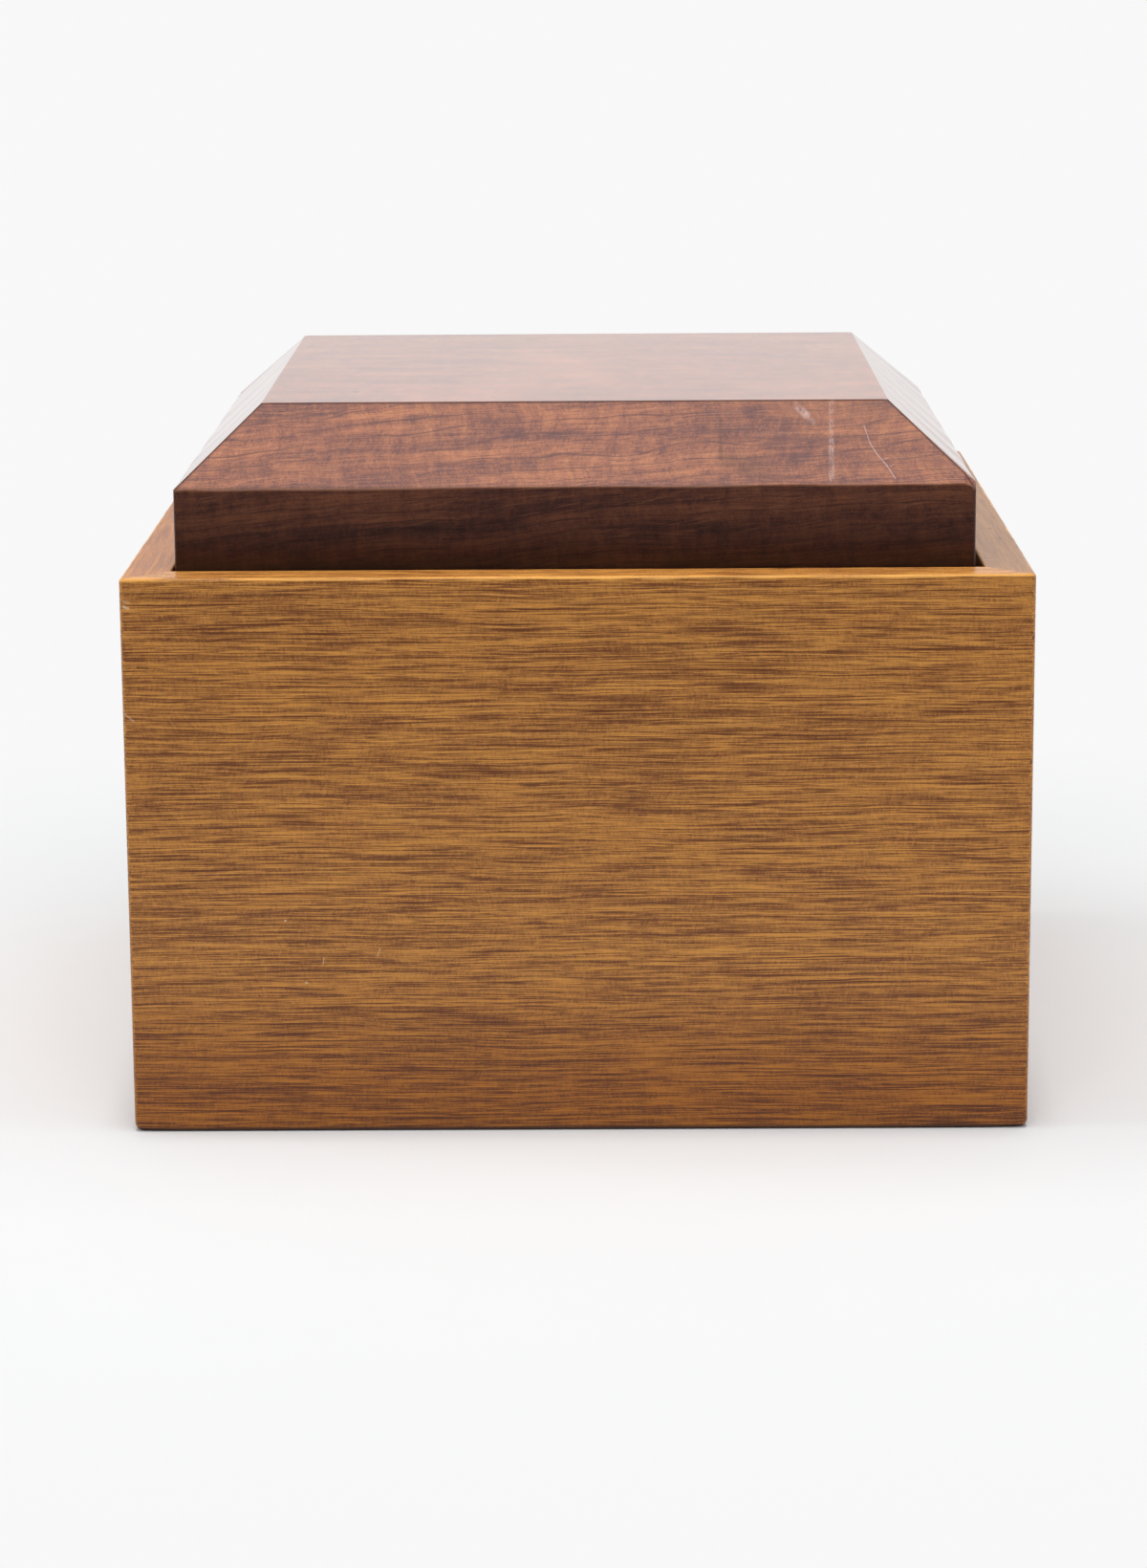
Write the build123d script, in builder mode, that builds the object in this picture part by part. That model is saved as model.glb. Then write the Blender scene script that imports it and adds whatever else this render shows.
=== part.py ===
"""A square wooden box with a thick bevelled lid that slides out to the back.

Millimetres, +Z up. The origin is the middle of the base, at the level that the box stands on. The front
looks along -Y and the lid slides out along +Y.
"""

import os

from build123d import *

# Box, outside
box_width = 200.0
box_depth = 200.0
wall_height = 125.5
wall_thickness = 10.4
corner_easing = 1.2
rim_easing = 0.8
inner_rim_easing = 0.5
foot_easing = 1.0

# Groove that the lid runs in
lip_height = 6.0
lid_groove_height = 6.0
lid_groove_depth = 4.0
seam_easing = 0.35

# Bottom panel and the groove that holds it
base_lip = 5.0
panel_thickness = 6.0
panel_groove_depth = 4.0
panel_edge_gap = 0.4
panel_top_gap = 0.15

# Splines hidden in the mitres
spline_thickness = 3.0
spline_width = 8.0
spline_setback = 5.5
spline_stop = 8.0
spline_glue_gap = 0.05

# Lid block
reveal_left = 0.8
reveal_right = 1.9
reveal_front = 1.3
reveal_back = 1.3
band_height = 18.0
bevel_height = 16.6
bevel_run = 18.4
lid_corner_easing = 0.7
lid_easing = 0.45
tongue_top_gap = 0.5
tongue_edge_gap = 0.5
tongue_lead_in = 1.5
glued_tongue_inset = 3.0
closing_gap = 0.15

# Levels and inner sizes that follow
inner_width = box_width - 2 * wall_thickness
inner_depth = box_depth - 2 * wall_thickness
groove_floor = wall_height - lip_height - lid_groove_height
panel_top = base_lip + panel_thickness
panel_groove_top = panel_top + panel_top_gap
spline_bottom = panel_groove_top + spline_stop
spline_top = groove_floor - spline_stop
band_top = wall_height + band_height
lid_top = band_top + bevel_height

# The lid block's faces
lid_left = -inner_width / 2 + reveal_left
lid_right = inner_width / 2 - reveal_right
lid_front = -inner_depth / 2 + reveal_front
lid_back = inner_depth / 2 - reveal_back
lid_width = lid_right - lid_left
lid_length = lid_back - lid_front
lid_middle = ((lid_left + lid_right) / 2, (lid_front + lid_back) / 2)
back_tongue_end = inner_depth / 2 + lid_groove_depth

# Each wall by the way its outer face looks, and each corner by its signs in x and y
walls = {
    "front_wall": (0, -1),
    "left_wall": (-1, 0),
    "right_wall": (1, 0),
    "back_wall": (0, 1),
}
corners = {
    "front_left": (-1, -1),
    "front_right": (1, -1),
    "back_left": (-1, 1),
    "back_right": (1, 1),
}


def mitre_planes(outward):
    """The two upright 45 degree planes that end a wall, each looking towards the wall."""
    along = (abs(outward[1]), abs(outward[0]))
    planes = []
    for end in (-1, 1):
        corner_x = (outward[0] + end * along[0]) * box_width / 2
        corner_y = (outward[1] + end * along[1]) * box_depth / 2
        towards_wall = (outward[0] - end * along[0], outward[1] - end * along[1], 0)
        planes.append(Plane(origin=(corner_x, corner_y, 0), z_dir=towards_wall))
    return planes


def spline_place(sign_x, sign_y):
    """The middle of a corner's spline in plan: set back along the mitre from the inner corner."""
    step = spline_setback / 2**0.5
    return (sign_x * (inner_width / 2 + step), sign_y * (inner_depth / 2 + step))


def spline_turn(sign_x, sign_y):
    """The angle in plan that lays a spline's width across its mitre."""
    return -45 * sign_x * sign_y


os.makedirs("parts", exist_ok=True)

# All four walls as one ring, with its grooves, its kerfs for the splines and its eased edges
with BuildPart() as wall_ring:
    with BuildSketch():
        RectangleRounded(box_width, box_depth, corner_easing)
        Rectangle(inner_width, inner_depth, mode=Mode.SUBTRACT)
    extrude(amount=wall_height)
    with BuildSketch(Plane.XY.offset(groove_floor)):
        Rectangle(inner_width + 2 * lid_groove_depth, inner_depth + 2 * lid_groove_depth)
    extrude(amount=lid_groove_height, mode=Mode.SUBTRACT)
    with BuildSketch(Plane.XY.offset(base_lip)):
        Rectangle(inner_width + 2 * panel_groove_depth, inner_depth + 2 * panel_groove_depth)
    extrude(amount=panel_groove_top - base_lip, mode=Mode.SUBTRACT)
    with BuildSketch(Plane.XY.offset(spline_bottom)):
        for signs in corners.values():
            with Locations(spline_place(*signs)):
                Rectangle(spline_width, spline_thickness, rotation=spline_turn(*signs))
    extrude(amount=spline_top - spline_bottom, mode=Mode.SUBTRACT)
    rim = wall_ring.faces().sort_by(Axis.Z)[-1]
    fillet(rim.outer_wire().edges(), radius=rim_easing)
    rim = wall_ring.faces().sort_by(Axis.Z)[-1]
    fillet(rim.inner_wires()[0].edges(), radius=inner_rim_easing)
    foot = wall_ring.faces().sort_by(Axis.Z)[0]
    fillet(foot.outer_wire().edges(), radius=foot_easing)

# Front wall and side walls: the ring between their mitres
for name in ("front_wall", "left_wall", "right_wall"):
    with BuildPart() as wall:
        add(wall_ring.part)
        for mitre in mitre_planes(walls[name]):
            split(bisect_by=mitre, keep=Keep.TOP)
    wall.part.label = name
    export_step(wall.part, f"parts/{name}.step")

# Back wall: cut down to the floor of the lid groove, so that the lid can leave over it
seam = Plane.XY.offset(groove_floor)
with BuildPart() as back_wall:
    add(wall_ring.part)
    for mitre in mitre_planes(walls["back_wall"]):
        split(bisect_by=mitre, keep=Keep.TOP)
    split(bisect_by=seam, keep=Keep.BOTTOM)
    seam_edges = back_wall.edges().group_by(Axis.Z)[-1].filter_by(Axis.X)
    fillet(seam_edges.sort_by(Axis.Y)[-1], radius=seam_easing)
back_wall.part.label = "back_wall"
export_step(back_wall.part, "parts/back_wall.step")

# Bottom panel, lying on the lower side of its groove
with BuildPart() as bottom_panel:
    with BuildSketch(Plane.XY.offset(base_lip)):
        Rectangle(
            inner_width + 2 * (panel_groove_depth - panel_edge_gap),
            inner_depth + 2 * (panel_groove_depth - panel_edge_gap),
        )
    extrude(amount=panel_thickness)
bottom_panel.part.label = "bottom_panel"
export_step(bottom_panel.part, "parts/bottom_panel.step")

# Splines across the mitres
for corner, signs in corners.items():
    with BuildPart() as spline:
        with BuildSketch(Plane.XY.offset(spline_bottom + spline_glue_gap)):
            with Locations(spline_place(*signs)):
                Rectangle(
                    spline_width - 2 * spline_glue_gap,
                    spline_thickness - 2 * spline_glue_gap,
                    rotation=spline_turn(*signs),
                )
        extrude(amount=spline_top - spline_bottom - 2 * spline_glue_gap)
    spline.part.label = f"spline_{corner}"
    export_step(spline.part, f"parts/spline_{corner}.step")

# Lid block: band, four bevels, flat top, and the tongue round its lower edge
with BuildPart() as lid_block:
    with BuildSketch(Plane.XY.offset(groove_floor)):
        with Locations(lid_middle):
            RectangleRounded(lid_width, lid_length, lid_corner_easing)
    extrude(amount=band_top - groove_floor)
    with BuildSketch(Plane.XY.offset(band_top)):
        with Locations(lid_middle):
            RectangleRounded(lid_width, lid_length, lid_corner_easing)
    with BuildSketch(Plane.XY.offset(lid_top)):
        with Locations(lid_middle):
            RectangleRounded(lid_width - 2 * bevel_run, lid_length - 2 * bevel_run, lid_corner_easing)
    loft()
    for level in (band_top, lid_top):
        eased = lid_block.edges().filter_by_position(Axis.Z, level - 0.01, level + 0.01)
        fillet(eased, radius=lid_easing)
    tongue_side = inner_width / 2 + lid_groove_depth - tongue_edge_gap
    tongue_front = -(inner_depth / 2 + lid_groove_depth - tongue_edge_gap)
    with BuildSketch(Plane.XY.offset(groove_floor)):
        with Locations((0, (tongue_front + back_tongue_end) / 2)):
            Rectangle(2 * tongue_side, back_tongue_end - tongue_front)
        chamfer(vertices().group_by(Axis.Y)[0], length=tongue_lead_in)
    extrude(amount=lid_groove_height - tongue_top_gap)
    # The glued end of the tongue fills the rail's rebate, and stops short of the side walls
    with BuildSketch(Plane.XY.offset(groove_floor)):
        with Locations((lid_middle[0], (lid_middle[1] + back_tongue_end) / 2)):
            Rectangle(lid_width - 2 * glued_tongue_inset, back_tongue_end - lid_middle[1])
    extrude(amount=lid_groove_height)
lid_block.part.label = "lid_block"
export_step(lid_block.part, "parts/lid_block.step")

# Lid rail: the strip of the ring above the back wall, which leaves with the lid
with BuildPart() as lid_rail:
    add(wall_ring.part)
    for mitre in mitre_planes(walls["back_wall"]):
        split(bisect_by=mitre.offset(closing_gap), keep=Keep.TOP)
    split(bisect_by=seam, keep=Keep.TOP)
    seam_edges = lid_rail.edges().group_by(Axis.Z)[0].filter_by(Axis.X)
    fillet(seam_edges.sort_by(Axis.Y)[-1], radius=seam_easing)
lid_rail.part.label = "lid_rail"
export_step(lid_rail.part, "parts/lid_rail.step")
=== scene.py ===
"""Looks of the sliding lid wooden box.

Golden-brown walls with a dense streaky grain and a dark reddish lid block with a wavy figure, both under a
satin varnish, with sanded arrises and a few handling marks. Everything is in metres, in the frame of the
construction: +Z up, the front looks along -Y and the lid leaves along +Y.
"""

import math

import bmesh
import bpy
import numpy as np
from mathutils import Matrix


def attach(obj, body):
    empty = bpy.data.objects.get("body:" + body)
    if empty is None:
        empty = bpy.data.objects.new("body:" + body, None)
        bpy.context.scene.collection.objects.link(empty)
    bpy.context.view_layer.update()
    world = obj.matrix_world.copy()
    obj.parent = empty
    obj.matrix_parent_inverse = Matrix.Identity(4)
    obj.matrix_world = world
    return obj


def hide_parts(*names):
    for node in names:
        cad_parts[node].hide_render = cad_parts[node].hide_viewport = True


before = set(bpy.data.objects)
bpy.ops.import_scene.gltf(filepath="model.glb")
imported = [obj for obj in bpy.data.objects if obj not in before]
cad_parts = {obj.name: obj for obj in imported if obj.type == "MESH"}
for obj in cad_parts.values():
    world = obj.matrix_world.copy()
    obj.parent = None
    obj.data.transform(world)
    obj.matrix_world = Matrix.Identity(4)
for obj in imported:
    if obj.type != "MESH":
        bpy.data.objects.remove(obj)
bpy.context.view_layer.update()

MM = 0.001
PER_MM = 1000.0

# Eased edges, as the construction has them
corner_easing = 1.2 * MM
rim_easing = 0.8 * MM
inner_rim_easing = 0.5 * MM
foot_easing = 1.0 * MM
seam_easing = 0.35 * MM
lid_corner_easing = 0.7 * MM
lid_easing = 0.45 * MM

# Grooves, kerfs, fits and lid sizes that the boxes of the nodes don't give
lid_groove_height = 6.0 * MM
lid_groove_depth = 4.0 * MM
panel_groove_depth = 4.0 * MM
panel_top_gap = 0.15 * MM
kerf_thickness = 3.0 * MM
kerf_depth = 4.0 * MM
glue_gap = 0.05 * MM
closing_gap = 0.15 * MM
band_height = 18.0 * MM
bevel_run = 18.4 * MM
tongue_top_gap = 0.5 * MM
tongue_lead_in = 1.5 * MM
glued_tongue_inset = 3.0 * MM

# What hand sanding leaves: arrises that wander, and one corner knocked flat
soft_edge = 0.3 * MM
dark_line = 0.45 * MM
arris_wander = 0.12 * MM
arris_rise = 0.3 * MM
knocked_width = 2.35 * MM
knocked_drop = 1.4 * MM
knocked_reach = 4 * knocked_width

# How far each kind of arris is rubbed pale, and what is left of that at the edge's two ends
rim_wear = 1.0
corner_wear = 0.55
slight_wear = 0.5
no_wear = 0.0
least_wear = 0.4

# How dark the lid's upright corners are, next to 1.0 on its hips
band_corner_dark = 0.5

# How finely the surfaces are stepped, the flat next to an easing, and the least distance that counts
turn_count = 7
side_count = 121
band_count = 15
bevel_count = 33
hem = 0.6 * MM
sliver = 0.01 * MM
sharp_angle = math.radians(35)

# Steepness of the changes near a board's ends, and the slowest and fastest turns of the wavy lines
foot_power = 16
rim_power = 8
rim_turns = (3, 22)
arris_turns = (4, 40)
arris_seed = 11


def node_range(node, above=-1.0):
    """Lowest and highest corner of a construction node's vertices that lie above a level."""
    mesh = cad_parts[node].data
    points = np.empty(3 * len(mesh.vertices), np.float32)
    mesh.vertices.foreach_get("co", points)
    points = points.reshape(-1, 3).astype(float)
    points = points[points[:, 2] > above]
    return points.min(0), points.max(0)


# Sizes that follow from the frame
front_low, front_high = node_range("front_wall")
half_width = node_range("right_wall")[1][0]
half_depth = -front_low[1]
wall_height = front_high[2]
wall_thickness = front_high[1] - front_low[1]
groove_floor = node_range("back_wall")[1][2]
groove_top = groove_floor + lid_groove_height
panel_low, panel_high = node_range("bottom_panel")
panel_groove_top = panel_high[2] + panel_top_gap
spline_low, spline_high = node_range("spline_front_left")
kerf_levels = (spline_low[2] - glue_gap, spline_high[2] + glue_gap)
kerf_inset = half_width + (spline_low[0] + spline_high[0]) / 2
tongue_low, tongue_high = node_range("lid_block")
block_low, block_high = node_range("lid_block", wall_height)
band_top = wall_height + band_height
lid_top = block_high[2]


# ---------------------------------------------------------------- surfaces


def wander(share, seed, slow, fast):
    """A seeded wavy line of about -1 to 1: sines of slow to fast turns over share 0 to 1, each with a chance
    phase."""
    turns = np.arange(slow, fast + 1)
    phases = np.random.default_rng(seed).uniform(0, 1, len(turns))
    waves = np.sin(2 * np.pi * (np.multiply.outer(share, turns) + phases))
    return waves.sum(-1) / np.sqrt(len(turns))


def crowded(count):
    """Numbers from 0 to 1 that crowd at both ends: half of one less the cosine."""
    return (1 - np.cos(np.linspace(0, np.pi, count))) / 2


def new_piece(name, points, faces, masks):
    """A closed mesh object from points, lists of corner numbers and one value a vertex for each mask."""
    mesh = bpy.data.meshes.new(name)
    mesh.from_pydata(points, [], faces)
    for mask, values in masks.items():
        mesh.attributes.new(mask, "FLOAT", "POINT").data.foreach_set("value", values.astype(np.float32))
    shell = bmesh.new()
    shell.from_mesh(mesh)
    bmesh.ops.recalc_face_normals(shell, faces=shell.faces)
    shell.to_mesh(mesh)
    shell.free()
    mesh.shade_smooth()
    mesh.set_sharp_from_angle(angle=sharp_angle)
    piece = bpy.data.objects.new(name, mesh)
    bpy.context.scene.collection.objects.link(piece)
    return piece


def grid_faces(rows, columns, closed_rows, closed_columns):
    """Corner numbers of the quads of a grid of points that is stored row after row."""
    last_row = rows if closed_rows else rows - 1
    last_column = columns if closed_columns else columns - 1
    row, column = np.meshgrid(np.arange(last_row), np.arange(last_column), indexing="ij")
    next_row = (row + 1) % rows * columns
    next_column = (column + 1) % columns
    corners = (
        row * columns + column,
        next_row + column,
        next_row + next_column,
        row * columns + next_column,
    )
    return np.stack(corners, -1).reshape(-1, 4).tolist()


# ---------------------------------------------------------------- boards

# Each board runs between two mitres. A column is a place along it: the turn of one rounded corner, then the
# straight, then the turn of the other.
turn_steps = np.linspace(0, 1, turn_count)
straight_steps = 2 * crowded(side_count) - 1
turn_ones = np.ones(turn_count - 1)
column_share = np.concatenate([-turn_ones, straight_steps, turn_ones])
column_turn = np.concatenate([turn_steps[:0:-1], 0 * straight_steps, turn_steps[1:]])
column_count = len(column_share)


def flats(*places):
    """Rows of a profile at fixed (inset, height) places, with no wear."""
    rows = np.array([(inset, height, 0) for inset, height in places])
    return np.repeat(rows[:, :, None], column_count, axis=2)


def easing(inset, height, radius, start, stop, wear):
    """Rows of a profile round an eased edge: a circle about (inset, height) from start to stop degrees, whose
    radius may change from column to column. Wear is greatest in its middle."""
    angle = np.radians(start + (stop - start) * turn_steps[:, None])
    radius = np.broadcast_to(radius, (1, column_count))
    swell = least_wear + (1 - least_wear) * np.sin(np.pi * turn_steps[:, None])
    worn = wear * swell * np.ones((1, column_count))
    return np.stack([inset + radius * np.cos(angle), height + radius * np.sin(angle), worn], axis=1)


def foot_rows():
    """From the inner lower edge, round the foot and up the outer face to the top of the kerf. The foot's
    easing is one radius along the board and grows to two at its ends, with a high power of the share."""
    radius = foot_easing * (1 + column_share**foot_power)
    return [
        flats((wall_thickness, 0)),
        easing(radius, radius, radius, 270, 180, no_wear),
        flats((0, 2 * foot_easing + hem), (0, kerf_levels[0]), (0, kerf_levels[1])),
    ]


def rim_rows(seed, wandering):
    """Up the last of the outer face, over the rim and down to the floor of the lid groove. The outer easing
    wanders along the board by that share of its radius, and is true to size at the mitres."""
    window = 1 - column_share**rim_power
    wave = wander((column_share + 1) / 2, seed, *rim_turns)
    radius = rim_easing * (1 + wandering * window * wave)
    inner_start = wall_thickness - inner_rim_easing
    groove_back = wall_thickness - lid_groove_depth
    return [
        flats((0, wall_height - 2 * rim_easing - hem)),
        easing(radius, wall_height - radius, radius, 180, 90, rim_wear),
        flats((2 * rim_easing + hem, wall_height), (inner_start - hem, wall_height)),
        easing(inner_start, wall_height - inner_rim_easing, inner_rim_easing, 90, 0, slight_wear),
        flats(
            (wall_thickness, wall_height - inner_rim_easing - hem),
            (wall_thickness, groove_top),
            (groove_back, groove_top),
            (groove_back, groove_floor),
        ),
    ]


def inner_rows():
    """Down the inner face, round the panel groove, to the lower edge."""
    groove_back = wall_thickness - panel_groove_depth
    return [
        flats(
            (wall_thickness, groove_floor),
            (wall_thickness, kerf_levels[1]),
            (wall_thickness, kerf_levels[0]),
            (wall_thickness, panel_groove_top),
            (groove_back, panel_groove_top),
            (groove_back, panel_low[2]),
            (wall_thickness, panel_low[2]),
        ),
    ]


def full_rows(seed, wandering):
    """The profile of a wall that reaches up to the rim."""
    return foot_rows() + rim_rows(seed, wandering) + inner_rows()


def cut_down_rows():
    """The profile of the back wall, whose top is the floor of the lid groove."""
    seam = [
        flats((0, groove_floor - seam_easing - hem)),
        easing(seam_easing, groove_floor - seam_easing, seam_easing, 180, 90, slight_wear),
        flats((seam_easing + hem, groove_floor)),
    ]
    return foot_rows() + seam + inner_rows()


def rail_rows(seed, wandering):
    """The profile of the strip above the back wall, with the rebate that the tongue fills."""
    seam = [
        easing(seam_easing, groove_floor + seam_easing, seam_easing, 270, 180, slight_wear),
        flats((0, groove_floor + seam_easing + hem)),
    ]
    return seam + rim_rows(seed, wandering)


def pocketed_end(profile, ring, first):
    """Faces that close a board's end round the pocket for a spline. ring has the end's points, and first is
    the number of the first of the pocket's eight: four at its mouth and four at its floor."""
    from_level = np.abs(profile[:, 1, 0] - kerf_levels[0])
    outer_low = int((from_level + np.abs(profile[:, 0, 0])).argmin())
    outer_high = outer_low + 1
    inner_low = int((from_level + np.abs(profile[:, 0, 0] - wall_thickness)).argmin())
    inner_high = inner_low - 1
    ring = ring.tolist()
    a, b, c, d = range(first, first + 4)
    e, f, g, h = range(first + 4, first + 8)
    return [
        [*ring[inner_low:], *ring[: outer_low + 1], a, b],
        [*ring[outer_high : inner_high + 1], d, c],
        [ring[outer_low], ring[outer_high], c, a],
        [ring[inner_high], ring[inner_low], b, d],
        [a, b, f, e],
        [b, d, h, f],
        [d, c, g, h],
        [c, a, e, g],
        [e, f, h, g],
    ]


def board(name, outward, rows, end_gap=0.0, kerf=True):
    """A board made by carrying a profile along it. At inset d the straight ends where the rounded corner's
    turn starts, and the turn's radius is corner_easing less d. Every row ends on the 45 degree mitre, which
    may be drawn back by end_gap. The ends are closed, with a pocket for the spline where there is a kerf."""
    profile = np.concatenate(rows)
    out = np.array(outward, float)
    along = np.array([-out[1], out[0]])
    half_out = half_depth if outward[1] else half_width
    half_length = (half_width if outward[1] else half_depth) - end_gap * math.sqrt(2)
    inset, height, wear = profile[:, 0], profile[:, 1], profile[:, 2]
    radius = np.clip(corner_easing - inset, 0, None)
    centre = np.maximum(corner_easing, inset)
    lead = hem * (1 - radius / corner_easing)
    angle = np.radians(45) * column_turn
    turned = lead * column_turn + radius * np.sin(angle)
    reach = column_share * (half_length - centre - lead) + np.sign(column_share) * turned
    plan_inset = centre - radius * np.cos(angle)

    def place(reach, plan_inset, height):
        """Points at those reaches along the board, insets from its outer face and heights."""
        plan = np.multiply.outer(reach, along) + np.multiply.outer(half_out - plan_inset, out)
        return np.concatenate([plan, np.asarray(height)[..., None]], axis=-1)

    points = [place(reach, plan_inset, height).reshape(-1, 3)]
    count = len(profile)
    faces = grid_faces(count, column_count, True, False)
    half_mouth = kerf_thickness / math.sqrt(8)
    mouth = np.tile([kerf_inset - half_mouth, kerf_inset + half_mouth], 2)
    level = np.repeat(kerf_levels, 2)
    deep = kerf_depth / math.sqrt(2)
    for end, column in ((-1, 0), (1, column_count - 1)):
        ring = np.arange(count) * column_count + column
        if kerf:
            faces += pocketed_end(profile, ring, sum(map(len, points)))
            points.append(place(end * (half_length - mouth), mouth, level))
            points.append(place(end * (half_length - mouth - deep), mouth - deep, level))
        else:
            faces.append(ring.tolist())
    points = np.concatenate(points)
    worn = np.zeros(len(points))
    worn[: wear.size] = np.maximum(wear, corner_wear * column_turn * radius / corner_easing).ravel()
    return new_piece(name, points, faces, {"arris": worn})


# ---------------------------------------------------------------- stacked outlines

side_steps = crowded(side_count)[1:-1]
loop_hip = np.tile(np.concatenate([np.sin(np.pi * turn_steps), 0 * side_steps]), 4)
loop_share = np.linspace(0, 1, len(loop_hip), endpoint=False)


def outline(low, high, radii, cut=(False, False, False, False)):
    """A closed loop round a rectangle, from the front left corner towards the right. Each corner is an arc of
    its radius, or a straight cut between the arc's ends, and each side's points crowd towards its ends."""
    corners = (
        (low[0], low[1], 1, 1),
        (high[0], low[1], -1, 1),
        (high[0], high[1], -1, -1),
        (low[0], high[1], 1, -1),
    )
    turns = []
    for number, (x, y, inward_x, inward_y) in enumerate(corners):
        radius = radii[number]
        angle = np.radians(180 + 90 * (number + turn_steps))
        turn_x = x + radius * (inward_x + np.cos(angle))
        turn_y = y + radius * (inward_y + np.sin(angle))
        turn = np.stack([turn_x, turn_y], -1)
        if cut[number]:
            turn = turn[:1] + (turn[-1:] - turn[:1]) * turn_steps[:, None]
        turns.append(turn)
    loop = []
    for turn, following in zip(turns, turns[1:] + turns[:1]):
        loop.append(turn)
        loop.append(turn[-1:] + (following[:1] - turn[-1:]) * side_steps[:, None])
    return np.concatenate(loop)


def raised(plan, height):
    """A loop in plan at a height, which is one number or one for each point."""
    return np.column_stack([plan, np.broadcast_to(height, len(plan))])


def stack(name, rings, masks):
    """A closed piece from loops of equally many points, one above the other, closed flat below and above."""
    count, size = len(rings), len(rings[0])
    faces = grid_faces(count, size, False, True)
    faces.append(list(range(size)))
    faces.append(list(range((count - 1) * size, count * size)))
    return new_piece(name, np.concatenate(rings), faces, masks)


def bottom_panel():
    """The bottom panel, with its edges just broken."""
    radii = (soft_edge,) * 4
    rings = []
    for inset, height in (
        (soft_edge, panel_low[2]),
        (0, panel_low[2] + soft_edge),
        (0, panel_high[2] - soft_edge),
        (soft_edge, panel_high[2]),
    ):
        rings.append(raised(outline(panel_low[:2] + inset, panel_high[:2] - inset, radii), height))
    return stack("bottom_panel_board", rings, {})


def eased_section(inset, height, start, stop):
    """Rows of (inset, height) round an eased edge of the lid's section that begins at that place, where the
    section's direction turns from start to stop degrees above level."""
    angle = np.radians(np.linspace(start, stop, turn_count))
    insets = inset + lid_easing * (np.sin(angle[0]) - np.sin(angle))
    heights = height + lid_easing * (np.cos(angle) - np.cos(angle[0]))
    return np.column_stack([insets, heights])


def lid_section():
    """Rows of (inset, height, lift, arris, dark) of the lid from the top of its tongue to its flat top. lift
    is how far a row follows the wandering lower arris of the bevels: fully at the arris, and less and less
    towards the foot of the band and the top of the bevel."""
    tongue_top = groove_top - tongue_top_gap
    slope = math.atan2(lid_top - band_top, bevel_run)
    uphill = np.array([math.cos(slope), math.sin(slope)])
    lower_tangent = lid_easing * math.tan((math.pi / 2 - slope) / 2)
    upper_tangent = lid_easing * math.tan(slope / 2)
    degrees = math.degrees(slope)
    lower = eased_section(0, band_top - lower_tangent, 90, degrees)
    upper = eased_section(*(np.array([bevel_run, lid_top]) - upper_tangent * uphill), degrees, 0)
    band_share = crowded(band_count)[:-1, None]
    band = np.array([[0, tongue_top]]) * (1 - band_share) + lower[:1] * band_share
    line_share = 1 - dark_line / np.hypot(bevel_run, lid_top - band_top)
    bevel_share = np.append(crowded(bevel_count)[1:-1] * line_share, line_share)[:, None]
    bevel = lower[-1:] * (1 - bevel_share) + upper[:1] * bevel_share
    flat = np.array([[bevel_run + upper_tangent + hem, lid_top]])
    blocks = (
        (band, band_share[:, 0], 0.0, 0.0),
        (lower, 1.0, 1.0, 0.0),
        (bevel, 1 - bevel_share[:, 0], 0.0, 0.0),
        (upper, 0.0, 0.0, 1.0),
        (flat, 0.0, 0.0, 0.0),
    )
    rows = []
    for places, lift, arris, dark in blocks:
        extra = [np.broadcast_to(value, len(places)) for value in (lift, arris, dark)]
        rows.append(np.column_stack([places, *extra]))
    return np.concatenate(rows)


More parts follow.
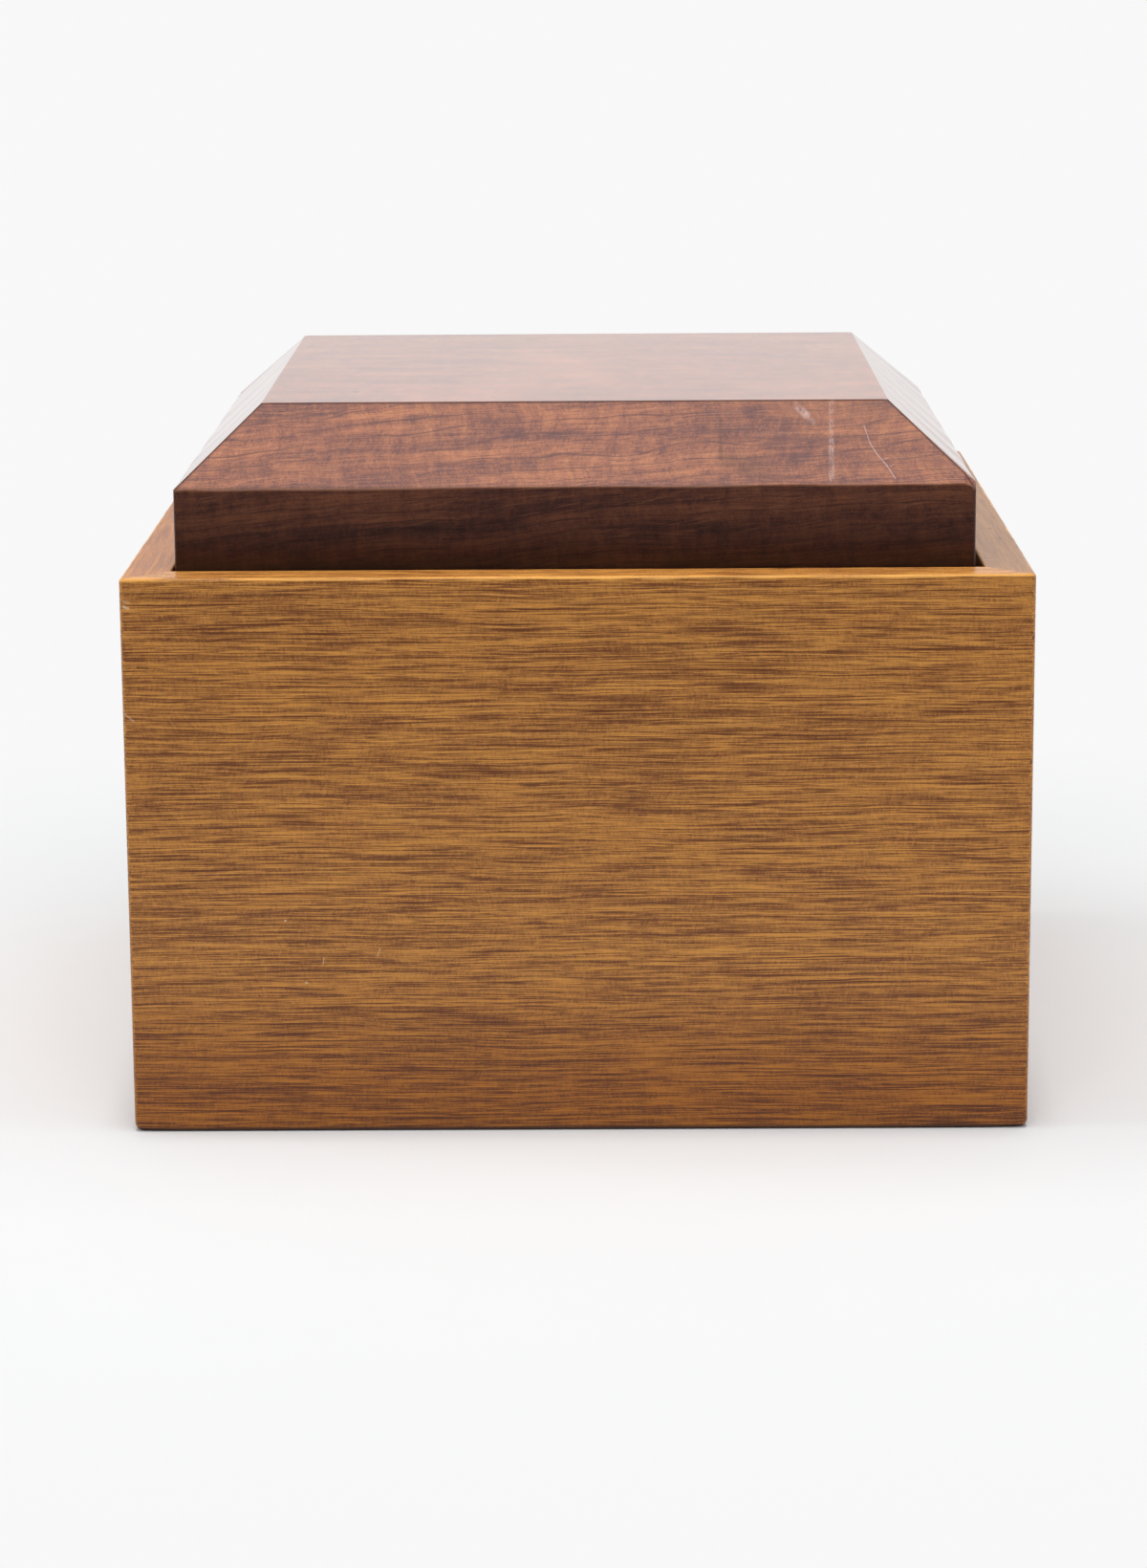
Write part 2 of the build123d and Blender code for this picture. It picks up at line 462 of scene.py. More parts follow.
def lid_block():
    """The lid: a tongue, an upright band, four bevels and a flat top, stacked from outlines of one section.
    The lower arris of the bevels rises a little to the right and wanders, and the front right corner is cut
    by a plane: points beyond it fall back onto it."""
    tongue_top = groove_top - tongue_top_gap
    middle = (block_low[0] + block_high[0]) / 2
    half_block = (block_high[0] - block_low[0]) / 2

    def glued_rise(plan):
        """How far the glued end of the tongue stands above the rest, to fill the rail's rebate."""
        within = np.clip((half_block - glued_tongue_inset - np.abs(plan[:, 0] - middle)) / MM, 0, 1)
        return tongue_top_gap * within * (plan[:, 1] > block_high[1] - hem)

    rings, arris, dark = [], [], []
    for inset, height in (
        (soft_edge, groove_floor),
        (0, groove_floor + soft_edge),
        (0, tongue_top - soft_edge),
        (soft_edge, tongue_top),
    ):
        radii = (tongue_lead_in, tongue_lead_in, soft_edge, soft_edge)
        plan = outline(tongue_low[:2] + inset, tongue_high[:2] - inset, radii, (True, True, False, False))
        rings.append(raised(plan, height + glued_rise(plan) * (height > groove_floor + hem)))
        arris.append(0 * loop_hip)
        dark.append(0 * loop_hip)
    wobble = arris_wander * wander(loop_share, arris_seed, *arris_turns)
    for inset, height, lift, pale_edge, dark_edge in lid_section():
        plan = outline(block_low[:2] + inset, block_high[:2] - inset, (lid_corner_easing,) * 4)
        rise = arris_rise * (plan[:, 0] - middle) / half_block + wobble
        foot = glued_rise(plan) * (height < tongue_top + soft_edge)
        rings.append(raised(plan, height + lift * rise + foot))
        arris.append(pale_edge + 0 * loop_hip)
        on_front = plan[:, 1] < block_low[1] + inset + sliver
        on_back = plan[:, 1] > block_high[1] - inset - sliver
        corner = band_corner_dark if height <= band_top else 1.0 * (height < lid_top - sliver)
        dark.append(np.maximum(dark_edge * (on_front | on_back), loop_hip * corner))
    points = np.concatenate(rings)
    climb = (lid_top - band_top) / bevel_run
    on_corner = np.array([block_high[0], block_low[1], band_top - knocked_drop])
    normal = np.array([1, -1, 2 * knocked_width / (knocked_drop + knocked_width * climb)])
    normal /= np.linalg.norm(normal)
    beyond = np.clip((points - on_corner) @ normal, 0, None)
    near = np.linalg.norm(points - on_corner, axis=1) < knocked_reach
    points -= np.outer(beyond * near, normal)
    rings = np.split(points, len(rings))
    return stack("lid_block_bevelled", rings, {"arris": np.concatenate(arris), "dark": np.concatenate(dark)})


# ---------------------------------------------------------------- shader parts


def srgb(red, green, blue):
    """A colour given in 8-bit sRGB numbers, as linear values with alpha."""
    share = [channel / 255 for channel in (red, green, blue)]
    linear = [c / 12.92 if c <= 0.04045 else ((c + 0.055) / 1.055) ** 2.4 for c in share]
    return (*linear, 1.0)


def add(tree, kind, inputs=None, **settings):
    """Adds a shader node. inputs maps a socket's name or number to a value, or to the output joined to it."""
    node = tree.nodes.new("ShaderNode" + kind)
    for key, value in settings.items():
        setattr(node, key, value)
    for key, value in (inputs or {}).items():
        if isinstance(value, bpy.types.NodeSocket):
            tree.links.new(value, node.inputs[key])
        else:
            node.inputs[key].default_value = value
    return node


def calc(tree, operation, a, b=0.0, clamp=False):
    """The output of a Math node."""
    return add(tree, "Math", {0: a, 1: b}, operation=operation, use_clamp=clamp).outputs[0]


def vector(tree, operation, a, b=(0.0, 0.0, 0.0)):
    """The vector output of a Vector Math node."""
    return add(tree, "VectorMath", {0: a, 1: b}, operation=operation).outputs[0]


def between(tree, value, low, high):
    """0 below low, 1 above high, and smooth between them. low may be the larger."""
    inputs = {"Value": value, "From Min": low, "From Max": high}
    return add(tree, "MapRange", inputs, interpolation_type="SMOOTHSTEP").outputs[0]


def mix(tree, share, a, b, blend="MIX"):
    """The output of a colour Mix node."""
    return add(tree, "Mix", {0: share, 6: a, 7: b}, data_type="RGBA", blend_type=blend).outputs[2]


def noise(tree, place, size, detail=1.0, roughness=0.5, kind="Fac"):
    """Noise with blobs of that size along each axis."""
    scaled = vector(tree, "DIVIDE", place, size)
    inputs = {"Vector": scaled, "Scale": 1.0, "Detail": detail, "Roughness": roughness}
    return add(tree, "TexNoise", inputs).outputs[kind]


def new_group(name, inputs, outputs):
    """An empty shader group with those sockets, and its input and output nodes."""
    tree = bpy.data.node_groups.new(name, "ShaderNodeTree")
    for socket, kind, value in inputs:
        item = tree.interface.new_socket(name=socket, in_out="INPUT", socket_type="NodeSocket" + kind)
        if value is not None:
            item.default_value = value
    for socket, kind in outputs:
        tree.interface.new_socket(name=socket, in_out="OUTPUT", socket_type="NodeSocket" + kind)
    return tree, tree.nodes.new("NodeGroupInput").outputs, tree.nodes.new("NodeGroupOutput")


def placed(tree, group, inputs):
    """A group placed in a material's tree, as its outputs."""
    return add(tree, "Group", inputs, node_tree=group).outputs


grain_outputs = ("Rings", "Figure", "Streaks", "Pale", "Fibres", "Ripple", "Curl", "Mottle", "Clouds")


def grain_group():
    """Wood grain along X, from a place in millimetres. Rings are growth bands that lie across Z, Figure is
    the thin wavy outlines of wide growth rings, Streaks are thin dark lines along the grain and Pale are the
    light ones between them, Fibres are finer lines, Ripple is fine shading across the grain, Curl is the same
    but broader, Mottle is even speckle, and Clouds are broad light and dark patches. All but Mottle bend with
    the same slow and quick waves, whose part across the board grows with Waviness. A Figure line is where the
    height over the ring spacing, plus three times a broad noise, is a whole number. Each noise is given the
    size of its blobs in millimetres along X, Y and Z."""
    tree, given, made = new_group(
        "Grain",
        [("Place", "Vector", None), ("Ring Spacing", "Float", 1.9), ("Waviness", "Float", 1.0)],
        [(name, "Float") for name in grain_outputs],
    )
    place = given["Place"]
    middle = (0.5, 0.5, 0.5)
    slow = vector(tree, "SUBTRACT", noise(tree, place, (55, 30, 24), kind="Color"), middle)
    quick = vector(tree, "SUBTRACT", noise(tree, place, (13, 9, 7), kind="Color"), middle)
    slow = vector(tree, "MULTIPLY", slow, (9, 5, 7))
    quick = vector(tree, "MULTIPLY", quick, (4, 1, 1.4))
    spread = add(tree, "CombineXYZ", {0: 1.0, 1: given["Waviness"], 2: given["Waviness"]}).outputs[0]
    waves = vector(tree, "MULTIPLY", vector(tree, "ADD", slow, quick), spread)
    bent = vector(tree, "ADD", place, waves)
    spacing = given["Ring Spacing"]
    thickness = calc(tree, "MULTIPLY", spacing, 2.5)
    cell = add(tree, "CombineXYZ", {0: 56.0, 1: thickness, 2: spacing}).outputs[0]
    rings = noise(tree, bent, cell, detail=2.0, roughness=0.6)
    level = calc(tree, "DIVIDE", add(tree, "SeparateXYZ", {0: bent}).outputs[2], spacing)
    broad = calc(tree, "MULTIPLY", noise(tree, bent, (60, 12, 13), detail=2.0), 3.0)
    phase = calc(tree, "FRACT", calc(tree, "ADD", level, broad))
    figure = between(tree, calc(tree, "ABSOLUTE", calc(tree, "SUBTRACT", phase, 0.5)), 0.42, 0.5)
    long_noise = noise(tree, bent, (24, 0.9, 0.34), detail=2.0)
    long_streaks = between(tree, long_noise, 0.53, 0.67)
    pale_streaks = between(tree, long_noise, 0.46, 0.32)
    short_streaks = between(tree, noise(tree, bent, (6, 0.5, 0.24)), 0.56, 0.72)
    fibres = noise(tree, bent, (12.0, 0.35, 0.2), detail=3.0, roughness=0.65)
    ripple = noise(tree, bent, (0.5, 1.6, 1.5), detail=2.0, roughness=0.6)
    curl = noise(tree, bent, (2.4, 8, 5), detail=2.0)
    mottle = noise(tree, place, (0.5, 0.5, 0.4), detail=3.0, roughness=0.6)
    clouds = noise(tree, bent, (32, 14, 6), detail=3.0)
    figure = calc(tree, "MULTIPLY", figure, between(tree, clouds, 0.35, 0.6))
    streaks = calc(tree, "MAXIMUM", long_streaks, calc(tree, "MULTIPLY", short_streaks, 0.7))
    outputs = (rings, figure, streaks, pale_streaks, fibres, ripple, curl, mottle, clouds)
    for name, output in zip(grain_outputs, outputs):
        tree.links.new(output, made.inputs[name])
    return tree


def mark_group():
    """A mark along a line from Start to End, from a place in millimetres: 1 within the Width of the line,
    fading to 0 over the Blur beyond it. Break opens gaps in it along its length."""
    tree, given, made = new_group(
        "Mark",
        [
            ("Place", "Vector", None),
            ("Start", "Vector", None),
            ("End", "Vector", None),
            ("Width", "Float", 0.3),
            ("Blur", "Float", 0.2),
            ("Break", "Float", 0.0),
        ],
        [("Mask", "Float")],
    )
    line = vector(tree, "SUBTRACT", given["End"], given["Start"])
    apart = vector(tree, "SUBTRACT", given["Place"], given["Start"])
    along = add(tree, "VectorMath", {0: apart, 1: line}, operation="DOT_PRODUCT").outputs["Value"]
    length = add(tree, "VectorMath", {0: line, 1: line}, operation="DOT_PRODUCT").outputs["Value"]
    never_zero = calc(tree, "MAXIMUM", length, 0.0001)
    share = calc(tree, "DIVIDE", along, never_zero, clamp=True)
    nearest = add(tree, "VectorMath", {0: line, "Scale": share}, operation="SCALE").outputs[0]
    distance = add(tree, "VectorMath", {0: apart, 1: nearest}, operation="DISTANCE").outputs["Value"]
    faded = calc(tree, "DIVIDE", calc(tree, "SUBTRACT", distance, given["Width"]), given["Blur"])
    mask = between(tree, faded, 1.0, 0.0)
    flakes = noise(tree, given["Place"], (0.9, 1.6, 1.6), detail=4.0, roughness=0.7)
    gaps = between(tree, flakes, 0.42, 0.62)
    kept = add(tree, "Mix", {0: given["Break"], 2: 1.0, 3: gaps}, data_type="FLOAT").outputs[0]
    tree.links.new(calc(tree, "MULTIPLY", mask, kept), made.inputs["Mask"])
    return tree


grain = grain_group()
mark = mark_group()


def new_material(name):
    """A material without nodes, and its tree."""
    material = bpy.data.materials.new(name)
    material.use_nodes = True
    material.node_tree.nodes.clear()
    return material, material.node_tree


def wood_place(tree, turn, tilt, shift):
    """A place on the object in millimetres, and the same place turned, tilted and shifted, so that X runs
    along the board's grain."""
    in_metres = add(tree, "TexCoord").outputs["Object"]
    here = add(tree, "VectorMath", {0: in_metres, "Scale": PER_MM}, operation="SCALE").outputs[0]
    inputs = {"Vector": here, "Location": shift, "Rotation": (0.0, tilt, turn)}
    return here, add(tree, "Mapping", inputs).outputs[0]


surface_ior = 1.45
relief_depth = 0.2 * MM
open_grain = 0.12
filled_grain = 0.03


def finished(tree, colour, roughness, height, bump=open_grain):
    """Joins the surface to the output: a Principled shader with that colour, roughness and relief."""
    relief = add(tree, "Bump", {"Strength": bump, "Distance": relief_depth, "Height": height}).outputs[0]
    inputs = {"Base Color": colour, "Roughness": roughness, "Normal": relief, "IOR": surface_ior}
    shader = add(tree, "BsdfPrincipled", inputs).outputs[0]
    add(tree, "OutputMaterial", {"Surface": shader})


def tone_of(tree, parts, weights):
    """One tone from grain outputs: 0.5 plus each output's distance from 0.5 times its weight."""
    tone = 0.5
    for name, weight in weights.items():
        part = calc(tree, "MULTIPLY", calc(tree, "SUBTRACT", parts[name], 0.5), weight)
        tone = calc(tree, "ADD", part, tone)
    return tone


def ramp(tree, tone, stops):
    """A smooth colour ramp through (position, colour) stops."""
    node = add(tree, "ValToRGB", {0: tone})
    elements = node.color_ramp.elements
    while len(elements) < len(stops):
        elements.new(1.0)
    for element, (position, colour) in zip(elements, stops):
        element.position = position
        element.color = colour
    return node.outputs[0]


def marked(tree, here, colour, marks, tint, lower=1.0):
    """The colour with a list of marks laid over it: (start, end, width, blur, break, strength). Heights are
    multiplied by lower, so that a mark also holds on a surface that wanders up and down a little."""
    lowered = vector(tree, "MULTIPLY", here, (1.0, 1.0, lower))
    for start, end, width, blur, gaps, strength in marks:
        start = (*start[:2], start[2] * lower)
        end = (*end[:2], end[2] * lower)
        inputs = {"Place": lowered, "Start": start, "End": end, "Width": width, "Blur": blur, "Break": gaps}
        mask = calc(tree, "MULTIPLY", placed(tree, mark, inputs)["Mask"], strength)
        colour = mix(tree, mask, colour, tint)
    return colour


# ---------------------------------------------------------------- woods

# Levels in millimetres: the rim, the top of the lid's band and its flat top, and the pairs between which the
# boards darken towards the foot and between which painted shade darkens the foot's rounding
rim_level = wall_height * PER_MM
band_level = band_top * PER_MM
top_level = lid_top * PER_MM
foot_levels = (42.0, 6.0)
painted_foot_shade_levels = (1.3, 0.5)

# Growth ring spacing in millimetres, waviness, and how much each part of the grain weighs in the tone
gold_grain = {"Ring Spacing": 0.75, "Waviness": 0.22}
gold_weights = {"Rings": 0.85, "Clouds": 0.25, "Fibres": 2.3, "Ripple": 0.5, "Mottle": 0.5}
lid_grain = {"Ring Spacing": 2.6, "Waviness": 1.0}
lid_weights = {"Rings": 0.85, "Clouds": 0.65, "Fibres": 0.9, "Ripple": 0.45, "Curl": 0.6, "Mottle": 0.6}
bare_weights = {"Rings": 0.9, "Clouds": 0.3, "Fibres": 1.4, "Ripple": 0.3}
bare_waviness = 0.5

# How far, in radians, the grain of the lid, of its light fibres and of the bare boards climbs
lid_tilt = 0.06
fleck_tilt = 0.19
bare_tilt = 0.03

gold_dark = srgb(116, 65, 28)
gold_mid = srgb(177, 116, 53)
gold_light = srgb(208, 142, 60)
gold_streak = srgb(98, 47, 14)
gold_pale = srgb(220, 156, 72)
gold_worn = srgb(244, 178, 80)
gold_foot = (0.72, 0.56, 0.22, 1.0)
# Painted shade: the dark colour of the foot's rounding, in place of the shade under the board
painted_foot_shade_colour = srgb(58, 30, 16)
# Multipliers for each board's rim top: painted light that lightens the front, a warmer tint on the left and
# back, and painted shade that greys and darkens the right
painted_light_rim = (1.47, 1.54, 1.75, 1.0)
left_rim = (1.02, 0.84, 0.55, 1.0)
painted_shade_rim = (0.84, 0.95, 1.6, 1.0)
scuff = srgb(226, 196, 160)
dark_nick = srgb(60, 32, 20)

# Marks on the golden boards, in millimetres: (start, end, width, blur, break, strength)
front_scuffs = (
    ((-99.2, -100.0, 120.6), (-97.9, -100.0, 120.2), 0.1, 0.3, 0.6, 0.45),
    ((-99.1, -100.0, 119.4), (-98.1, -100.0, 119.0), 0.15, 0.3, 0.3, 0.75),
    ((-100.0, -99.8, 95.9), (-97.5, -100.0, 93.8), 0.08, 0.25, 0.5, 0.5),
    ((-44.9, -100.0, 40.4), (-44.3, -100.0, 42.2), 0.04, 0.12, 0.2, 0.6),
    ((-57.0, -100.0, 38.7), (-56.8, -100.0, 40.1), 0.04, 0.12, 0.2, 0.6),
    ((-65.3, -100.0, 48.6), (-65.1, -100.0, 48.6), 0.15, 0.15, 0.0, 0.6),
    ((-60.9, -100.0, 34.4), (-60.7, -100.0, 34.4), 0.15, 0.15, 0.0, 0.6),
)
front_nicks = (
    ((-96.4, -100.0, 105.8), (-94.2, -100.0, 105.7), 0.08, 0.25, 0.3, 0.8),
    ((99.6, -99.7, 111.6), (99.6, -99.7, 111.2), 0.2, 0.25, 0.0, 0.9),
    ((99.5, -99.8, 84.0), (99.5, -99.8, 83.4), 0.1, 0.3, 0.0, 0.8),
)
right_scuffs = (
    ((89.9, -80.5, 125.5), (93.6, -79.9, 125.5), 0.05, 0.16, 0.0, 0.5),
)
right_nicks = (
    ((95.2, -35.4, 125.5), (95.6, -35.1, 125.5), 0.2, 0.4, 0.0, 0.8),
    ((96.6, -49.8, 125.5), (96.6, -49.3, 125.5), 0.2, 0.3, 0.0, 0.8),
    ((90.2, -78.9, 125.5), (92.2, -78.7, 125.5), 0.05, 0.2, 0.3, 0.7),
    ((97.0, -83.5, 125.5), (97.1, -83.3, 125.5), 0.1, 0.25, 0.0, 0.6),
)


def golden_wood(name, turn, shift, rim, plain_rim, scuffs=(), nicks=()):
    """Golden-brown streaky wood: growth bands, dark and pale streaks and fibres along the board, darker near
    the foot, with a plainer rim under a tint for each board, which is painted light on the front and painted
    shade on the right, paler worn arrises and painted shade on the foot's rounding."""
    material, tree = new_material(name)
    here, place = wood_place(tree, turn, 0.0, shift)
    parts = placed(tree, grain, {"Place": place, **gold_grain})
    tone = tone_of(tree, parts, gold_weights)
    colour = ramp(tree, tone, ((0.25, gold_dark), (0.5, gold_mid), (0.78, gold_light)))
    colour = mix(tree, calc(tree, "MULTIPLY", parts["Pale"], 0.5), colour, gold_pale)
    colour = mix(tree, calc(tree, "MULTIPLY", parts["Streaks"], 0.92), colour, gold_streak)
    height = add(tree, "SeparateXYZ", {0: here}).outputs[2]
    colour = mix(tree, between(tree, height, *foot_levels), colour, gold_foot, "MULTIPLY")
    # Painted shade along the foot's rounding, darkest at the floor
    foot_painted_shade = calc(tree, "MULTIPLY", between(tree, height, *painted_foot_shade_levels), 0.9)
    colour = mix(tree, foot_painted_shade, colour, painted_foot_shade_colour)
    # The rim's top is made plainer and multiplied by the board's rim tint: painted light on the front,
    # painted shade on the right
    on_rim = between(tree, height, rim_level - 0.5, rim_level - 0.05)
    colour = mix(tree, calc(tree, "MULTIPLY", on_rim, plain_rim), colour, gold_mid)
    colour = mix(tree, on_rim, colour, rim, "MULTIPLY")
    arris = add(tree, "Attribute", attribute_name="arris").outputs["Fac"]
    patchy = between(tree, parts["Clouds"], 0.3, 0.6)
    worn = calc(tree, "MULTIPLY", between(tree, arris, 0.3, 1.0), calc(tree, "MULTIPLY", patchy, 0.7))
    colour = mix(tree, worn, colour, gold_worn)
    colour = marked(tree, here, colour, scuffs, scuff)
    colour = marked(tree, here, colour, nicks, dark_nick)
    rough = calc(tree, "ADD", 0.28, calc(tree, "MULTIPLY", parts["Fibres"], 0.16))
    relief = calc(tree, "SUBTRACT", parts["Fibres"], calc(tree, "MULTIPLY", parts["Streaks"], 0.6))
    finished(tree, colour, rough, relief)
    return material


lid_dark = srgb(94, 52, 50)
lid_mid = srgb(143, 84, 61)
lid_light = srgb(182, 114, 76)
lid_streak = srgb(80, 42, 42)
# Painted shade for the lid's upright band: multipliers at its top and at its foot by the rim, where it is
# darkest, and a lighter one for the tongue below
painted_band_shade_top = (0.34, 0.30, 0.27, 1.0)
painted_band_shade_foot = (0.135, 0.10, 0.07, 1.0)
painted_tongue_shade = (0.4, 0.34, 0.3, 1.0)
lid_face = (1.25, 1.22, 1.25, 1.0)
lid_edge = srgb(56, 26, 18)
lid_worn = srgb(190, 130, 96)
lid_fleck = srgb(206, 142, 104)
rub = srgb(226, 204, 200)
peach = srgb(206, 134, 84)

# Marks on the lid, in millimetres: (start, end, width, blur, break, strength)
lid_rubs = (
    ((56.7, -70.5, 159.5), (56.3, -79.0, 151.9), 0.2, 0.6, 0.9, 0.3),
    ((56.3, -79.0, 151.9), (56.0, -87.0, 144.7), 0.2, 0.7, 0.8, 0.35),
    ((49.0, -71.3, 158.8), (51.0, -73.2, 157.1), 0.3, 1.0, 0.8, 0.3),
    ((51.0, -73.2, 157.1), (52.3, -74.7, 155.8), 0.2, 0.8, 0.8, 0.3),
    ((63.7, -75.6, 155.0), (64.8, -79.5, 151.5), 0.05, 0.16, 0.4, 0.3),
    ((64.8, -79.5, 151.5), (66.1, -81.7, 149.4), 0.05, 0.16, 0.3, 0.4),
    ((66.1, -81.7, 149.4), (68.3, -84.4, 147.0), 0.05, 0.16, 0.2, 0.4),
    ((68.3, -84.4, 147.0), (70.0, -87.2, 144.5), 0.05, 0.16, 0.3, 0.4),
    ((67.8, -82.9, 148.4), (68.6, -82.7, 148.6), 0.03, 0.1, 0.0, 0.3),
    ((69.0, -84.4, 147.1), (70.0, -84.0, 147.3), 0.03, 0.1, 0.0, 0.3),
)
lid_patches = (
    ((-4.4, 16.4, 160.1), (1.6, -27.3, 160.1), 1.0, 11.0, 0.5, 0.42),
    ((-18.8, -57.5, 160.1), (-11.8, 29.4, 160.1), 1.0, 12.0, 0.5, 0.25),
    ((48.2, -35.3, 160.1), (57.6, -66.5, 160.1), 3.0, 16.0, 0.5, 0.2),
)
lid_darks = (
    ((-50.3, -51.8, 160.1), (-50.3, -49.4, 160.1), 0.3, 0.25, 0.0, 1.0),
    ((-21.7, -46.5, 160.1), (-21.6, -46.2, 160.1), 0.1, 0.2, 0.0, 0.8),
    ((7.8, -55.2, 160.1), (7.9, -55.0, 160.1), 0.12, 0.2, 0.0, 0.9),
    ((19.8, -35.7, 160.1), (19.9, -35.4, 160.1), 0.1, 0.25, 0.0, 0.8),
    ((1.2, 8.0, 160.1), (1.4, 8.3, 160.1), 0.15, 0.3, 0.0, 0.8),
    ((32.2, 10.4, 160.1), (32.3, 10.6, 160.1), 0.15, 0.3, 0.0, 0.8),
    ((-11.8, 42.2, 160.1), (-11.5, 42.5, 160.1), 0.2, 0.3, 0.0, 0.7),
    ((62.2, -1.3, 160.1), (62.3, -1.0, 160.1), 0.15, 0.3, 0.0, 0.8),
    ((31.9, -74.3, 156.1), (31.7, -82.6, 148.7), 0.15, 0.5, 0.5, 0.5),
    ((33.0, -82.8, 148.5), (40.9, -85.6, 146.0), 0.8, 2.2, 0.4, 0.4),
)


def lid_wood():
    """Dark reddish wood with a wavy purplish figure. On the upright band light fibres rise to the right, and
    painted shade darkens it, most towards the rim, and darkens the tongue below it less; the top is plainer
    with soft peach patches. It has dark lines along its hips, its upright corners and the front and back
    arrises of the top, a paler lower arris, and the marks of handling."""
    material, tree = new_material("red_brown_varnished")
    here, place = wood_place(tree, 0.0, lid_tilt, (31.0, 7.0, 12.0))
    rising = wood_place(tree, 0.0, fleck_tilt, (5.0, 3.0, 8.0))[1]
    parts = placed(tree, grain, {"Place": place, **lid_grain})
    tone = tone_of(tree, parts, lid_weights)
    colour = ramp(tree, tone, ((0.2, lid_dark), (0.5, lid_mid), (0.8, lid_light)))
    colour = mix(tree, calc(tree, "MULTIPLY", parts["Streaks"], 0.35), colour, lid_streak)
    colour = mix(tree, calc(tree, "MULTIPLY", parts["Figure"], 0.75), colour, lid_streak)
    colour = mix(tree, calc(tree, "MULTIPLY", parts["Pale"], 0.15), colour, lid_fleck)
    height = add(tree, "SeparateXYZ", {0: here}).outputs[2]
    # Painted shade on the band, darker towards the rim, and lighter again on the tongue hidden below it
    foot = between(tree, height, band_level, rim_level)
    shade = mix(tree, foot, painted_band_shade_top, painted_band_shade_foot)
    hidden = between(tree, height, rim_level - 1.5, rim_level - 4.5)
    shade = mix(tree, hidden, shade, painted_tongue_shade)
    band = between(tree, height, band_level + 0.5, band_level - 0.3)
    flecks = between(tree, noise(tree, rising, (9.0, 0.6, 0.24), detail=2.0), 0.56, 0.76)
    flecks = calc(tree, "MULTIPLY", flecks, calc(tree, "MULTIPLY", band, 0.65))
    colour = mix(tree, flecks, colour, lid_fleck)
    colour = mix(tree, band, colour, shade, "MULTIPLY")
    face = between(tree, height, top_level - 0.15, top_level - 0.02)
    colour = mix(tree, calc(tree, "MULTIPLY", face, 0.35), colour, lid_mid)
    colour = mix(tree, face, colour, lid_face, "MULTIPLY")
    colour = marked(tree, here, colour, lid_patches, peach)
    arris = add(tree, "Attribute", attribute_name="arris").outputs["Fac"]
    colour = mix(tree, calc(tree, "MULTIPLY", arris, 0.25), colour, lid_worn)
    dark = add(tree, "Attribute", attribute_name="dark").outputs["Fac"]
    colour = mix(tree, calc(tree, "MULTIPLY", dark, 0.75), colour, lid_edge)
    colour = marked(tree, here, colour, lid_darks, dark_nick, 0.2)
    colour = marked(tree, here, colour, lid_rubs, rub, 0.2)
    rough = calc(tree, "ADD", 0.12, calc(tree, "MULTIPLY", parts["Mottle"], 0.12))
    rough = calc(tree, "ADD", rough, calc(tree, "MULTIPLY", band, 0.18))
    glancing = between(tree, add(tree, "LayerWeight", {"Blend": 0.5}).outputs["Facing"], 0.8, 0.97)
    smoother = calc(tree, "SUBTRACT", 1.0, calc(tree, "MULTIPLY", glancing, 0.8))
    rough = calc(tree, "MULTIPLY", rough, smoother)
    rough = calc(tree, "MAXIMUM", rough, calc(tree, "MULTIPLY", dark, 0.7))
    relief = calc(tree, "ADD", parts["Mottle"], calc(tree, "MULTIPLY", parts["Fibres"], 0.5))
    finished(tree, colour, rough, relief, filled_grain)
    return material


def bare_wood(name, dark, light, shift, spacing):
    """Bare wood for the panel and the splines: soft bands, thin ring outlines and fibres, without varnish."""
    material, tree = new_material(name)
    place = wood_place(tree, 0.0, bare_tilt, shift)[1]
    parts = placed(tree, grain, {"Place": place, "Ring Spacing": spacing, "Waviness": bare_waviness})
    tone = tone_of(tree, parts, bare_weights)
    colour = ramp(tree, tone, ((0.25, dark), (0.75, light)))
    lines = calc(tree, "MAXIMUM", parts["Figure"], parts["Streaks"])
    colour = mix(tree, calc(tree, "MULTIPLY", lines, 0.55), colour, dark)
    rough = calc(tree, "ADD", 0.6, calc(tree, "MULTIPLY", parts["Fibres"], 0.2))
    finished(tree, colour, rough, parts["Fibres"])
    return material


# ---------------------------------------------------------------- the pieces

straight = 0.0
quarter_turn = math.pi / 2
front_shift = (0.0, 0.0, 0.0)
left_shift = (310.0, 40.0, 55.0)
right_shift = (-420.0, 90.0, -35.0)
back_shift = (150.0, 60.0, 210.0)
front_marks = (front_scuffs, front_nicks)
right_marks = (right_scuffs, right_nicks)
front_wood = golden_wood("golden_varnished_front", straight, front_shift, painted_light_rim, 0.1, *front_marks)
left_wood = golden_wood("golden_varnished_left", quarter_turn, left_shift, left_rim, 0.5)
right_wood = golden_wood("golden_varnished_right", quarter_turn, right_shift, painted_shade_rim, 0.65, *right_marks)
back_wood = golden_wood("golden_varnished_back", straight, back_shift, left_rim, 0.3)

panel_wood = bare_wood("panel_bare", srgb(146, 98, 56), srgb(202, 158, 108), (80.0, 300.0, 9.0), 2.2)

front_board = board("front_wall_board", (0, -1), full_rows(seed=1, wandering=0.25))
left_board = board("left_wall_board", (-1, 0), full_rows(seed=2, wandering=0.1))
right_board = board("right_wall_board", (1, 0), full_rows(seed=3, wandering=0.1))
back_board = board("back_wall_board", (0, 1), cut_down_rows())
rail_profile = rail_rows(seed=4, wandering=0.1)
rail = board("lid_rail_strip", (0, 1), rail_profile, end_gap=closing_gap, kerf=False)

